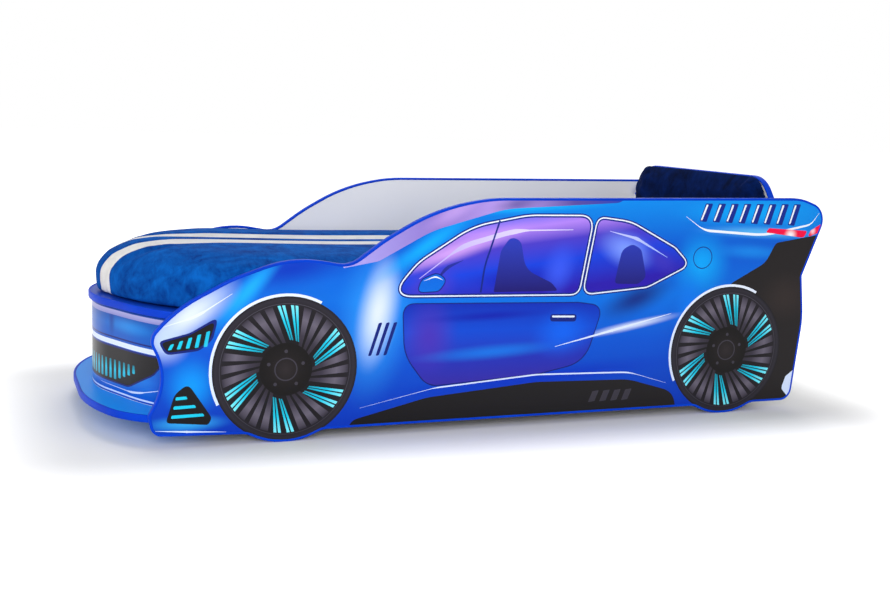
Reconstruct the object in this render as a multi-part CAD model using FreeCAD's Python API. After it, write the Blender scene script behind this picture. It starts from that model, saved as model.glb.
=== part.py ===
import FreeCAD, Part
import math
import os

from FreeCAD import Vector

# A children's bed in the shape of a car. Two flat laminated side panels cut to a car's outline are held
# apart by a front crossboard and a headboard. A bumper box of two curved boards and a bent skin closes
# the front, bent slats on two rails carry the mattress, and soft C-section edging covers the cut edges.
# Millimetres. X runs from the bumper to the headboard, Y from the right side to the left, Z up.
# Stations are distances along X behind the side panels' front edge.

# ---- Driving sizes ----------------------------------------------------------------------------------

mattress_width = 800.0
mattress_length = 1800.0
mattress_side_gap = 2.5
mattress_side_height = 110.0
mattress_crown = 22.0
mattress_nose_overhang = 83.0
mattress_draw_in = 5.0
mattress_side_radius = 20000.0
cover_wall = 12.0

board = 16.0
edging_wall = 2.0
edging_lip = 5.0
edging_lip_wall = 1.5
seat_gap = 0.3

deck_height = 322.0
roof_height = 611.0
bonnet_rise = 129.0
nose_drop = 56.0
tail_overhang = 131.0
sill_height = 25.0
wheel_radius = 181.0
wheel_flat = 1.0
front_wheel_station = 329.0
rear_wheel_overhang = 298.0
wheel_to_sill_fillet = 50.0

splitter_height = 62.5
splitter_reach = 132.0
rim_reach = 98.0
skin_thickness = 3.0
skin_inset = 9.0
skin_groove = 4.0
groove_play = 0.2
edging_run_in = 3.0
crossboard_station = 116.0
rim_overlap = 16.0
cleat_width = 20.0

headboard_above_roof = 57.0
headboard_shoulder_drop = 117.0
headboard_corner_in = 86.5
headboard_foot = 60.0
pad_side_gap = 52.5
pad_corner_in = 44.0
pad_above_deck = 78.0
pad_shoulder_drop = 72.0
pad_top_gap = 9.0
pad_thickness = 28.0
pad_roll = 12.0
backing_thickness = 5.0
mattress_to_pad = 2.0

rail_width = 25.0
rail_depth = 40.0
slat_count = 16
slat_width = 53.0
slat_thickness = 8.0
slat_camber = 9.0
slat_end_gap = 6.0
first_slat_gap = 52.0
last_slat_gap = 62.0
holder_length = 34.0
holder_wall = 2.0
holder_play = 0.2

cam_diameter = 15.0
cam_depth = 12.5
cam_edge_distance = 34.0
cam_cover_flange = 1.0
cam_bolt_diameter = 6.0
cam_bolt_bore = 7.0
panel_bore_depth = 11.0
dowel_diameter = 8.0
dowel_length = 30.0
bracket_leg = 28.0
bracket_width = 16.0
bracket_wall = 2.0
bracket_gap = 12.0
bracket_screw_diameter = 4.0
bracket_screw_length = 13.0
bracket_screw_head = 7.0
confirmat_length = 50.0
confirmat_diameter = 6.5
confirmat_head = 10.0
rail_screw_count = 3
rail_screw_diameter = 4.0
rail_screw_head = 8.0
rail_screw_length = 36.0
pad_screw_play = 0.5
small_piece_sides = 8
beyond = 5000.0

# ---- Sizes worked out from them ---------------------------------------------------------------------

inner_half = mattress_width / 2 + mattress_side_gap
lip_half = inner_half - edging_lip_wall
crossboard_rear = crossboard_station + board
rim_top = deck_height - seat_gap - edging_lip_wall
rim_bottom = rim_top - board
splitter_top = splitter_height + board
mattress_rear = mattress_length - mattress_nose_overhang
pad_front = mattress_rear + mattress_to_pad
backing_front = pad_front + pad_thickness
headboard_front = backing_front + backing_thickness
headboard_rear = headboard_front + board
panel_length = headboard_rear + tail_overhang
rear_wheel_station = panel_length - rear_wheel_overhang
bonnet_height = deck_height + bonnet_rise
nose_height = deck_height - nose_drop
headboard_height = roof_height + headboard_above_roof
headboard_shoulder = headboard_height - headboard_shoulder_drop
headboard_half_top = inner_half - headboard_corner_in
pad_half_width = inner_half - pad_side_gap
pad_half_top = pad_half_width - pad_corner_in
pad_bottom = deck_height + pad_above_deck
pad_shoulder = headboard_height - pad_shoulder_drop
pad_screw_length = board + backing_thickness - pad_screw_play
slat_top = deck_height - seat_gap
slot_height = slat_thickness + 2 * holder_play + 1.6
rail_top = slat_top - slat_thickness - slat_camber - holder_wall - holder_play
holder_height = slot_height + 2 * holder_wall


# ---- Shape helpers ----------------------------------------------------------------------------------

def turn_at(points, index):
    """Unit vectors from a corner to its neighbours, and half the angle between them."""
    count = len(points)
    corner, before, after = points[index], points[index - 1], points[(index + 1) % count]
    back = (before[0] - corner[0], before[1] - corner[1])
    ahead = (after[0] - corner[0], after[1] - corner[1])
    back_length, ahead_length = math.hypot(*back), math.hypot(*ahead)
    back = (back[0] / back_length, back[1] / back_length)
    ahead = (ahead[0] / ahead_length, ahead[1] / ahead_length)
    cosine = max(-1.0, min(1.0, back[0] * ahead[0] + back[1] * ahead[1]))
    return back, ahead, math.acos(cosine) / 2


def limited(points):
    """The same corners, with each radius no larger than its two straight sides leave room for."""
    count = len(points)
    tangents = []
    for index in range(count):
        half = turn_at(points, index)[2]
        tangents.append(points[index][2] / math.tan(half))
    shares = [1.0] * count
    for index in range(count):
        nxt = (index + 1) % count
        side = math.hypot(points[nxt][0] - points[index][0], points[nxt][1] - points[index][1])
        wanted = tangents[index] + tangents[nxt]
        if wanted > side:
            shares[index] = min(shares[index], side / wanted)
            shares[nxt] = min(shares[nxt], side / wanted)
    return [(p[0], p[1], p[2] * share) for p, share in zip(points, shares)]


def signed_area(points):
    total = 0.0
    for index in range(len(points)):
        a, b = points[index - 1], points[index]
        total += a[0] * b[1] - b[0] * a[1]
    return total / 2


def inset(points, distance):
    """The outline moved inwards by a distance: outer corners tighten and inner corners open."""
    side = 1.0 if signed_area(points) > 0 else -1.0
    moved = []
    for index in range(len(points)):
        back, ahead, half = turn_at(points, index)
        corner = points[index]
        cross = (-back[0]) * ahead[1] - (-back[1]) * ahead[0]
        convex = cross * side > 0
        bisector = (back[0] + ahead[0], back[1] + ahead[1])
        length = math.hypot(*bisector)
        sign = 1.0 if convex else -1.0
        reach = sign * distance / math.sin(half) / length
        radius = corner[2]
        if radius > 0:
            radius = max(radius - sign * distance, 0.0)
        moved.append((corner[0] + bisector[0] * reach, corner[1] + bisector[1] * reach, radius))
    return moved


def in_side(a, b, at):
    return Vector(a, at, b)


def in_plan(a, b, at):
    return Vector(a, b, at)


def in_cross(a, b, at):
    return Vector(at, a, b)


def rounded(points, plane, at):
    """A closed wire through corners (a, b, radius), with straight sides and tangent arcs."""
    ends = []
    for index, corner in enumerate(points):
        back, ahead, half = turn_at(points, index)
        radius = corner[2]
        if radius < 1e-6:
            ends.append((corner[:2], None, corner[:2]))
            continue
        tangent = radius / math.tan(half)
        start = (corner[0] + back[0] * tangent, corner[1] + back[1] * tangent)
        end = (corner[0] + ahead[0] * tangent, corner[1] + ahead[1] * tangent)
        bisector = (back[0] + ahead[0], back[1] + ahead[1])
        length = math.hypot(*bisector)
        reach = (radius / math.sin(half) - radius) / length
        middle = (corner[0] + bisector[0] * reach, corner[1] + bisector[1] * reach)
        ends.append((start, middle, end))
    edges = []
    for index, (start, middle, end) in enumerate(ends):
        previous = ends[index - 1][2]
        if math.hypot(start[0] - previous[0], start[1] - previous[1]) > 1e-3:
            edges.append(Part.makeLine(plane(*previous, at), plane(*start, at)))
        if middle:
            arc = Part.Arc(plane(*start, at), plane(*middle, at), plane(*end, at))
            edges.append(arc.toShape())
    return Part.Wire(edges)


def plate(points, plane, at, thickness):
    """A flat board of this outline, thickness thick from `at` in the plane's own direction."""
    step = plane(0, 0, at + thickness) - plane(0, 0, at)
    return Part.Face(rounded(points, plane, at)).extrude(step)


def edging_ring(points, plane, at):
    """C-section edging all the way round a board whose face lies at `at`. The outline is the edging's
    own: the board lies one wall inside it, and a lip reaches over each face."""
    thick = board + 2 * edging_lip_wall
    ring = plate(points, plane, at - edging_lip_wall, thick)
    ring = ring.cut(plate(inset(points, edging_wall), plane, at, board))
    hole = inset(points, edging_wall + edging_lip)
    return ring.cut(plate(hole, plane, at - edging_lip_wall - 1, thick + 2))


def box(x0, x1, y0, y1, z0, z1):
    return Part.makeBox(x1 - x0, y1 - y0, z1 - z0, Vector(x0, y0, z0))


def ring_of_corners(radius, along):
    """A regular polygon round the Z axis: small turned pieces are drawn with a few flats."""
    step = 2 * math.pi / small_piece_sides
    corners = [Vector(radius * math.cos(step * k), radius * math.sin(step * k), along)
               for k in range(small_piece_sides)]
    return Part.makePolygon(corners + corners[:1])


def aimed(piece, start, direction):
    piece.Placement = FreeCAD.Placement(start, FreeCAD.Rotation(Vector(0, 0, 1), direction))
    return piece


def rod(radius, length, start, direction):
    piece = Part.Face(ring_of_corners(radius, 0)).extrude(Vector(0, 0, length))
    return aimed(piece, start, direction)


def countersunk(radius, head_radius, length, start, direction):
    """A countersunk screw: its flat head at `start`, its point along `direction`."""
    taper = head_radius - radius
    profile = [(head_radius, 0), (radius, taper), (radius, length - radius * 1.5),
               (radius * 0.3, length)]
    piece = Part.makeLoft([ring_of_corners(r, along) for r, along in profile], True, True)
    return aimed(piece, start, direction)


def mirrored(shape):
    return shape.mirror(Vector(0, 0, 0), Vector(0, 1, 0))


def both_sides(shapes):
    return shapes + [mirrored(shape) for shape in shapes]


def drilled(shape, tools):
    for tool in tools:
        if tool.BoundBox.intersect(shape.BoundBox):
            shape = shape.cut(tool)
    return shape


# ---- Outlines ---------------------------------------------------------------------------------------

def wheel_bulge(station):
    """The low part of a wheel below the sill, from its rear end to its front end."""
    radius = wheel_radius + edging_wall
    centre = radius - wheel_flat
    fillet = wheel_to_sill_fillet
    rise = centre - sill_height
    spread = math.sqrt((radius + fillet) ** 2 - (rise + fillet) ** 2)
    angle = math.asin(spread / (radius + fillet))
    touch = radius * math.sin(angle)
    touch_height = centre - radius * math.cos(angle)
    corner = touch + (sill_height - touch_height) / math.tan(angle)
    return [
        (station + corner, sill_height, fillet),
        (station, centre - radius / math.cos(angle), radius),
        (station - corner, sill_height, fillet),
    ]


def car_outline():
    """A side panel's outer outline, edging included: bumper, bonnet, roof, tail and the wheels."""
    front = [
        (9, sill_height + 7, 28),
        (-1, 82, 14),
        (48, nose_height - 94, 144),
        (-1, nose_height, 38),
        (58, bonnet_height - 115, 338),
        (197, bonnet_height - 42, 400),
        (342, bonnet_height + 9, 294),
        (487, bonnet_height - 15, 70),
    ]
    roof = [
        (577, roof_height - 110, 495),
        (707, roof_height - 35, 540),
        (854, roof_height - 6, 495),
        (panel_length - 80, roof_height + 2, 150),
    ]
    tail = [
        (panel_length + 13, roof_height - 30, 52),
        (panel_length - 4, roof_height - 83, 94),
        (panel_length - 58, roof_height - 221, 18),
        (panel_length - 42, nose_height - 1, 295),
        (panel_length - 62, 64, 58),
        (panel_length - 65, sill_height, 37),
    ]
    wheels = wheel_bulge(rear_wheel_station) + wheel_bulge(front_wheel_station)
    return limited(front + roof + tail + wheels)


def bow_outline(half_points, chord):
    """A board with a bowed front between the side panels, from the front curve's corners."""
    first, second, end = half_points
    slope = (end[0] - second[0]) / (end[1] - second[1])
    edge = lip_half + edging_wall
    end_station = second[0] + (edge - second[1]) * slope
    left = [(first[0], first[1], first[2]), (second[0], second[1], second[2])]
    left += [(end_station, edge, 0), (chord + edging_wall, edge, 0)]
    right = [(a, -b, r) for a, b, r in reversed(left)]
    return limited(right + left)


rim_curve = [(-rim_reach, 68, 330), (3, inner_half - 104.5, 608), (93, inner_half, 0)]
splitter_curve = [(-splitter_reach, inner_half - 220, 562), (-61, inner_half - 51.5, 218),
                  (11, inner_half, 0)]
rim_chord = crossboard_rear + rim_overlap
rim_outline = bow_outline(rim_curve, rim_chord)
splitter_outline = bow_outline(splitter_curve, crossboard_rear)


def skin_region(distance):
    """The plan area inside the rim's front curve moved in by a distance, run on past the panels."""
    first, second, end = rim_curve
    run_on = 2.0
    far = (second[0] + (end[0] - second[0]) * run_on, second[1] + (end[1] - second[1]) * run_on)
    left = [first, second, (far[0], far[1], 0)]
    right = [(a, -b, r) for a, b, r in reversed(left)]
    return inset(limited(right + left), distance)


def headboard_outline():
    """The headboard's outer outline in Y and Z, with its rounded shoulders."""
    half = inner_half + edging_wall
    foot = headboard_foot - edging_wall
    left = [(half, foot, 0), (half, headboard_shoulder, 14)]
    left += [(headboard_half_top, headboard_height, 98)]
    right = [(-a, b, r) for a, b, r in reversed(left)]
    return limited(left + right)


def pad_outline(distance):
    """The headboard pad's outline in Y and Z, moved in by a distance."""
    top = headboard_height - pad_top_gap
    left = [(pad_half_width, pad_bottom, 14), (pad_half_width, pad_shoulder, 50)]
    left += [(pad_half_top, top, 44)]
    right = [(-a, b, r) for a, b, r in reversed(left)]
    return inset(limited(left + right), distance)


def mattress_plan(nose_in, side_in, rear_in):
    """The mattress seen from above, its nose, sides and rear moved in by their own distances."""
    half = mattress_width / 2 - side_in
    nose = -mattress_nose_overhang + nose_in
    rear = mattress_rear - rear_in
    middle = (nose + rear) / 2
    left = [
        (nose, 30, 380),
        (nose + 72, half - 138, 560),
        (nose + 240, half, 90),
        (middle, half - mattress_draw_in, mattress_side_radius),
        (rear, half, 34),
    ]
    right = [(a, -b, r) for a, b, r in reversed(left)]
    return limited(right + left)


# ---- Side panels ------------------------------------------------------------------------------------

outline = car_outline()
panel = plate(inset(outline, edging_wall), in_side, inner_half, board)
panel_edging = edging_ring(outline, in_side, inner_half)
below_floor = box(-beyond, beyond, 0, beyond, -beyond, 0)
panel_edging = panel_edging.cut(below_floor)

# ---- Bumper and front crossboard --------------------------------------------------------------------

front_crossboard = box(crossboard_station, crossboard_rear, -inner_half, inner_half,
                       splitter_top, rim_bottom)


def between_lips(shape, depth):
    """What of the shape lies between the side panels' lips and in front of a station."""
    return shape.common(box(-beyond, depth, -lip_half, lip_half, 0, beyond))


groove = plate(skin_region(skin_inset - groove_play), in_plan, splitter_top - skin_groove,
               rim_bottom - splitter_top + 2 * skin_groove)
groove = groove.cut(plate(skin_region(skin_inset + skin_thickness + groove_play), in_plan, 0, beyond))
groove = groove.common(box(-beyond, crossboard_station, -inner_half, inner_half, 0, beyond))

rim_board = plate(inset(rim_outline, edging_wall), in_plan, rim_bottom, board).cut(groove)
splitter_board = plate(inset(splitter_outline, edging_wall), in_plan, splitter_height, board)
splitter_board = splitter_board.cut(groove)
rim_edging = between_lips(edging_ring(rim_outline, in_plan, rim_bottom),
                          rim_curve[2][0] + edging_run_in)
splitter_edging = between_lips(edging_ring(splitter_outline, in_plan, splitter_height),
                               splitter_curve[2][0] + edging_run_in)

skin = plate(skin_region(skin_inset), in_plan, splitter_top - skin_groove,
             rim_bottom - splitter_top + 2 * skin_groove)
skin_inside = plate(skin_region(skin_inset + skin_thickness), in_plan, 0, beyond)
skin = skin.cut(skin_inside)
skin = between_lips(skin, crossboard_station)

bumper_space = plate(skin_region(skin_inset + skin_thickness), in_plan, splitter_top,
                     rim_bottom - splitter_top)
bumper_rib = bumper_space.common(box(-beyond, crossboard_station, -board / 2, board / 2, 0, beyond))
bumper_cleat = bumper_space.common(box(-beyond, crossboard_station,
                                       inner_half - cleat_width, inner_half, 0, beyond))

# ---- Headboard and its pad --------------------------------------------------------------------------

headboard = plate(inset(headboard_outline(), edging_wall), in_cross, headboard_front, board)
headboard_edging = edging_ring(headboard_outline(), in_cross, headboard_front)
headboard_edging = headboard_edging.common(box(0, beyond, -lip_half, lip_half,
                                               headboard_shoulder + edging_lip, beyond))
backing_board = plate(pad_outline(2), in_cross, backing_front, backing_thickness)

pad_sections = [
    (backing_front, 0.0),
    (pad_front + pad_thickness * 0.3, pad_roll * 0.2),
    (pad_front + pad_thickness * 0.06, pad_roll * 1.6),
    (pad_front, pad_roll * 4.5),
]
headboard_pad = Part.makeLoft([rounded(pad_outline(inwards), in_cross, station)
                               for station, inwards in pad_sections], True, True)

# ---- Mattress ---------------------------------------------------------------------------------------

# Height above the deck as a share of the side height, then how far the nose, sides and rear draw in.
mattress_levels = [
    (0.00, 7, 4, 8),
    (0.15, 1, 0, 1),
    (0.55, 7, 0, 0),
    (0.88, 37, 3, 3),
    (1.00, 64, 13, 13),
]
mattress_wires = []
for share, nose_in, side_in, rear_in in mattress_levels:
    level = deck_height + share * mattress_side_height
    mattress_wires.append(rounded(mattress_plan(nose_in, side_in, rear_in), in_plan, level))

# Above them the crown: its height as a share of the whole, and how far it has drawn in by then.
top_nose_in, top_side_in, top_rear_in = mattress_levels[-1][1:]
for share, spread in ((0.60, 0.19), (1.0, 0.60)):
    level = deck_height + mattress_side_height + share * mattress_crown
    plan = mattress_plan(top_nose_in + spread * 150,
                         top_side_in + spread * (mattress_width / 2 - 100),
                         top_rear_in + spread * 110)
    mattress_wires.append(rounded(plan, in_plan, level))
mattress_form = Part.makeLoft(mattress_wires, True, True)
core_height = mattress_side_height - 2 * cover_wall
foam_core = plate(mattress_plan(top_nose_in, cover_wall, cover_wall), in_plan, deck_height + cover_wall,
                  core_height)
mattress_cover = mattress_form.cut(foam_core)

# ---- Slats, their holders and rails -----------------------------------------------------------------

rail_inner = inner_half - rail_width
rail = box(crossboard_rear, headboard_front, rail_inner, inner_half, rail_top - rail_depth, rail_top)

slat_half = inner_half - slat_end_gap
slat_end_bottom = rail_top + holder_wall + holder_play
slat_radius = (slat_half ** 2 + slat_camber ** 2) / (2 * slat_camber)


def slat_at(station):
    """One bent slat across the bed, its width centred on a station."""
    left, right = -slat_half, slat_half
    low, high = slat_end_bottom, slat_end_bottom + slat_camber
    under = Part.Arc(Vector(0, left, low), Vector(0, 0, high), Vector(0, right, low))
    over = Part.Arc(Vector(0, left, low + slat_thickness), Vector(0, 0, high + slat_thickness),
                    Vector(0, right, low + slat_thickness))
    ends = [Part.makeLine(Vector(0, y, low), Vector(0, y, low + slat_thickness)) for y in (left, right)]
    wire = Part.Wire([under.toShape(), ends[1], over.toShape(), ends[0]])
    slat = Part.Face(wire).extrude(Vector(slat_width, 0, 0))
    slat.translate(Vector(station - slat_width / 2, 0, 0))
    return slat


def holder_at(station):
    """One moulded end cap on the left rail: a pocket open towards the bed's middle."""
    half = slat_width / 2 + holder_play
    outer = box(station - half - holder_wall, station + half + holder_wall,
                inner_half - holder_length, inner_half, rail_top, rail_top + holder_height)
    pocket = box(station - half, station + half, inner_half - holder_length - 1,
                 slat_half + holder_play, rail_top + holder_wall,
                 rail_top + holder_wall + slot_height)
    return outer.cut(pocket)


first_slat = crossboard_rear + first_slat_gap
last_slat = headboard_front - last_slat_gap
slat_pitch = (last_slat - first_slat) / (slat_count - 1)
slat_stations = [first_slat + index * slat_pitch for index in range(slat_count)]
slats = [slat_at(station) for station in slat_stations]
slat_holders = both_sides([holder_at(station) for station in slat_stations])

# ---- Fasteners --------------------------------------------------------------------------------------

across = Vector(0, 1, 0)
forwards = Vector(-1, 0, 0)
rearwards = Vector(1, 0, 0)
upwards = Vector(0, 0, 1)
downwards = Vector(0, 0, -1)

# Cam connectors join the crossboard and the headboard to the side panels: (board's rear face, height).
crossboard_span = rim_bottom - splitter_top
cam_places = [
    (crossboard_rear, splitter_top + crossboard_span * 0.2),
    (crossboard_rear, splitter_top + crossboard_span * 0.72),
    (headboard_rear, headboard_foot + 45),
    (headboard_rear, rail_top - rail_depth - 40),
    (headboard_rear, headboard_shoulder - 60),
]
cam_y = inner_half - cam_edge_distance
cams = []
cam_covers = []
cam_bolts = []
cam_seats = []
bolt_bores = []
for rear_face, height in cam_places:
    seat_floor = rear_face - cam_depth - cam_cover_flange
    cam = rod(cam_diameter / 2, cam_depth, Vector(seat_floor, cam_y, height), rearwards)
    plug = rod(cam_diameter / 2, cam_cover_flange, Vector(seat_floor + cam_depth, cam_y, height),
               rearwards)
    flange = rod(cam_diameter / 2 + 1, cam_cover_flange, Vector(rear_face, cam_y, height), rearwards)
    bolt_start = Vector(rear_face - board / 2, cam_y + cam_diameter / 4, height)
    bolt_length = inner_half + panel_bore_depth - bolt_start.y
    bolt = rod(cam_bolt_diameter / 2, bolt_length, bolt_start, across)
    bore_start = Vector(bolt_start.x, cam_y, height)
    cams.append(cam.cut(bolt))
    cam_covers.append(plug.fuse(flange).removeSplitter())
    cam_bolts.append(bolt)
    cam_seats.append(rod(cam_diameter / 2, board, Vector(seat_floor, cam_y, height), rearwards))
    bolt_bores.append(rod(cam_bolt_bore / 2, cam_edge_distance, bore_start, across))
cams = both_sides(cams)
cam_covers = both_sides(cam_covers)
cam_bolts = both_sides(cam_bolts)
cam_seats = both_sides(cam_seats)
bolt_bores = both_sides(bolt_bores)

# Dowels beside the cams, at (board's middle station, height).
dowel_places = [
    (crossboard_station + board / 2, splitter_top + crossboard_span * 0.46),
    (headboard_front + board / 2, headboard_foot + 110),
    (headboard_front + board / 2, rail_top + 90),
]
dowels = []
for station, height in dowel_places:
    start = Vector(station, inner_half + panel_bore_depth - dowel_length, height)
    dowels.append(rod(dowel_diameter / 2, dowel_length, start, across))
dowels = both_sides(dowels)

# Long screws through the rim and the splitter into the crossboard and the rib.
screw_row = inner_half * 0.6
crossboard_middle = crossboard_station + board / 2
rib_middle = crossboard_station / 2
confirmats = []
for station, y in ((crossboard_middle, -screw_row), (crossboard_middle, screw_row),
                   (rib_middle, 0)):
    confirmats.append(countersunk(confirmat_diameter / 2, confirmat_head / 2, confirmat_length,
                                  Vector(station, y, splitter_height), upwards))
    confirmats.append(countersunk(confirmat_diameter / 2, confirmat_head / 2, confirmat_length,
                                  Vector(station, y, rim_top), downwards))


def bracket_at(corner, along, out):
    """A steel angle in the corner between two boards, lying flat: one leg along each direction."""
    side = along.cross(out)
    flat = Part.makePolygon([Vector(0, 0, 0), Vector(bracket_leg, 0, 0),
                             Vector(bracket_leg, bracket_wall, 0), Vector(bracket_wall, bracket_wall, 0),
                             Vector(bracket_wall, bracket_leg, 0), Vector(0, bracket_leg, 0),
                             Vector(0, 0, 0)])
    angle = Part.Face(flat).extrude(Vector(0, 0, bracket_width))
    screws = []
    reach = bracket_leg * 0.62
    for start, way in ((Vector(reach, bracket_wall, bracket_width / 2), Vector(0, -1, 0)),
                       (Vector(bracket_wall, reach, bracket_width / 2), Vector(-1, 0, 0))):
        screw = countersunk(bracket_screw_diameter / 2, bracket_screw_head / 2,
                            bracket_screw_length, start, way)
        angle = angle.cut(screw)
        screws.append(screw)
    turn = FreeCAD.Placement(FreeCAD.Matrix(along.x, out.x, side.x, corner.x,
                                            along.y, out.y, side.y, corner.y,
                                            along.z, out.z, side.z, corner.z,
                                            0, 0, 0, 1))
    angle.Placement = turn
    for screw in screws:
        screw.Placement = turn.multiply(screw.Placement)
    return angle, screws


inwards = Vector(0, -1, 0)
brackets = []
bracket_screws = []
for station, way, height in ((crossboard_rear, rearwards, splitter_top + bracket_gap),
                             (headboard_front, forwards, headboard_foot + bracket_gap)):
    side = way.cross(inwards)
    lift = 0 if side.z > 0 else bracket_width
    angle, screws = bracket_at(Vector(station, inner_half, height + lift), way, inwards)
    brackets.append(angle)
    bracket_screws += screws
brackets = both_sides(brackets)
bracket_screws = both_sides(bracket_screws)

# Screws through the slat rails into the side panels.
rail_screws = []
rail_run = headboard_front - crossboard_rear
for index in range(rail_screw_count):
    station = crossboard_rear + rail_run * (index + 0.5) / rail_screw_count
    start = Vector(station, rail_inner, rail_top - rail_depth / 2)
    rail_screws.append(countersunk(rail_screw_diameter / 2, rail_screw_head / 2, rail_screw_length,
                                   start, across))
rail_screws = both_sides(rail_screws)

# Screws through the headboard into the pad's backing board and its filling.
pad_screws = []
for y in (-pad_half_width * 0.75, pad_half_width * 0.75):
    for height in (pad_bottom + 40, pad_shoulder - 10):
        start = Vector(headboard_rear, y, height)
        pad_screws.append(countersunk(rail_screw_diameter / 2, rail_screw_head / 2, pad_screw_length,
                                      start, forwards))

# ---- Seats and holes for the fasteners --------------------------------------------------------------

fasteners = cam_bolts + dowels + confirmats + bracket_screws + rail_screws + pad_screws
front_crossboard = drilled(front_crossboard, cam_seats + bolt_bores + fasteners)
headboard = drilled(headboard, cam_seats + bolt_bores + fasteners)
panel = drilled(panel, fasteners)
rim_board = drilled(rim_board, fasteners)
splitter_board = drilled(splitter_board, fasteners)
bumper_rib = drilled(bumper_rib, fasteners)
rail = drilled(rail, fasteners)
backing_board = drilled(backing_board, fasteners)
headboard_pad = drilled(headboard_pad, fasteners)

# ---- Nodes ------------------------------------------------------------------------------------------

nodes = {
    "side_panel_left": [panel],
    "side_panel_right": [mirrored(panel)],
    "side_edging_left": [panel_edging],
    "side_edging_right": [mirrored(panel_edging)],
    "front_crossboard": [front_crossboard],
    "bumper_rim_board": [rim_board],
    "bumper_rim_edging": [rim_edging],
    "bumper_splitter_board": [splitter_board],
    "bumper_splitter_edging": [splitter_edging],
    "bumper_skin": [skin],
    "bumper_rib": [bumper_rib],
    "bumper_end_cleats": both_sides([bumper_cleat]),
    "headboard": [headboard],
    "headboard_edging": [headboard_edging],
    "headboard_pad": [headboard_pad],
    "pad_backing_board": [backing_board],
    "slat_rail_left": [rail],
    "slat_rail_right": [mirrored(rail)],
    "slats": slats,
    "slat_holders": slat_holders,
    "mattress_cover": [mattress_cover],
    "mattress_core": [foam_core],
    "cam_locks": cams,
    "cam_covers": cam_covers,
    "cam_bolts": cam_bolts,
    "dowels": dowels,
    "confirmat_screws": confirmats,
    "corner_brackets": brackets,
    "bracket_screws": bracket_screws,
    "rail_screws": rail_screws,
    "pad_screws": pad_screws,
}

# The origin is below the middle of the whole bed: half way from the splitter's nose to the tail.
tail_station = Part.Face(rounded(outline, in_side, 0)).optimalBoundingBox().XMax
origin_shift = Vector(-(tail_station - splitter_reach) / 2, 0, 0)

os.makedirs("parts", exist_ok=True)
for name, solids in nodes.items():
    shape = solids[0] if len(solids) == 1 else Part.makeCompound(solids)
    shape = shape.copy()
    shape.translate(origin_shift)
    shape.exportStep("parts/" + name + ".step")
    print(name, len(shape.Solids), "solids", round(shape.Volume / 1000), "cm3", shape.isValid())
print("overall length", round(tail_station + splitter_reach, 1), "shift", round(origin_shift.x, 2))
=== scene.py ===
import math

import bmesh
import bpy
from mathutils import Matrix, Vector
from mathutils.bvhtree import BVHTree
from mathutils.geometry import delaunay_2d_cdt


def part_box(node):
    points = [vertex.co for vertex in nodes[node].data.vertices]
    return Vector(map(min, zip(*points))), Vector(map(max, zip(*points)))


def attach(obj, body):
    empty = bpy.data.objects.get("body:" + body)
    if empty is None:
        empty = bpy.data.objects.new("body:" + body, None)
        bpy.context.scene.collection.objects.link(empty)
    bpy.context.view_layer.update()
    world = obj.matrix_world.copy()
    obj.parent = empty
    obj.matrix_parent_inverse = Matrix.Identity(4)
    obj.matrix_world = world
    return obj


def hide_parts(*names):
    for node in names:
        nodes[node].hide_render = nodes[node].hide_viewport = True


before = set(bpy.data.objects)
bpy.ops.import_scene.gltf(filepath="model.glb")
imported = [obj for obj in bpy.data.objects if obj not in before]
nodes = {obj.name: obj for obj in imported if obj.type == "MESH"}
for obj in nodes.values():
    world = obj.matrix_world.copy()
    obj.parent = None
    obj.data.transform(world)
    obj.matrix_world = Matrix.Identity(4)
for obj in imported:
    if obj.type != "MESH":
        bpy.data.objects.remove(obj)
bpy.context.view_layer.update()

scene = bpy.context.scene
mm = 0.001

# Stations along the bed are measured in mm behind the side panels' front edge, as on the drawing.
originShift = 883.47

# How near points have to be: to merge and to share a level, in m, and to meet in the print, in mm.
tolerance = {"merge": 0.00002, "level": 0.0001, "print": 0.002}


def toX(station):
    return (station - originShift) * mm


def srgb(code):
    channels = [int(code[i:i + 2], 16) / 255 for i in (1, 3, 5)]
    return [c / 12.92 if c <= 0.04045 else ((c + 0.055) / 1.055) ** 2.4 for c in channels] + [1.0]


def addNode(tree, kind, inputs=None, **settings):
    node = tree.nodes.new(kind)
    for name, value in settings.items():
        setattr(node, name, value)
    for name, value in (inputs or {}).items():
        socket = node.inputs[name]
        if isinstance(value, bpy.types.NodeSocket):
            tree.links.new(value, socket)
        else:
            socket.default_value = value
    return node


def made(tree, kind, inputs=None, **settings):
    # the first output of a new node
    return addNode(tree, kind, inputs, **settings).outputs[0]


def calculated(tree, operation, *values):
    return made(tree, "ShaderNodeMath", dict(enumerate(values)), operation=operation)


def vectorNode(tree, operation, *values):
    # its "Vector" or, for a length or a product, its "Value" is what the caller takes
    return addNode(tree, "ShaderNodeVectorMath", dict(enumerate(values)), operation=operation).outputs


def newMaterial(name, sockets):
    material = bpy.data.materials.new(name)
    material.use_nodes = True
    tree = material.node_tree
    shader = tree.nodes["Principled BSDF"]
    for socket, value in sockets.items():
        shader.inputs[socket].default_value = srgb(value) if isinstance(value, str) else value
    return material, tree, shader


def colourRamp(tree, factor, stops):
    ramp = addNode(tree, "ShaderNodeValToRGB", {"Fac": factor})
    elements = ramp.color_ramp.elements
    while len(elements) < len(stops):
        elements.new(0.5)
    for element, (place, code) in zip(elements, stops):
        element.position = place
        element.color = srgb(code)
    return ramp.outputs["Color"]


def noiseValue(tree, vector, scale, detail=2.0, roughness=0.5, distortion=0.0):
    node = addNode(tree, "ShaderNodeTexNoise", {"Vector": vector, "Scale": scale, "Detail": detail,
                                                "Roughness": roughness, "Distortion": distortion})
    return node.outputs["Fac"]


def stretched(tree, vector, scale):
    return made(tree, "ShaderNodeMapping", {"Vector": vector, "Scale": scale})


def objectCoords(tree):
    return addNode(tree, "ShaderNodeTexCoord").outputs["Object"]


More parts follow.
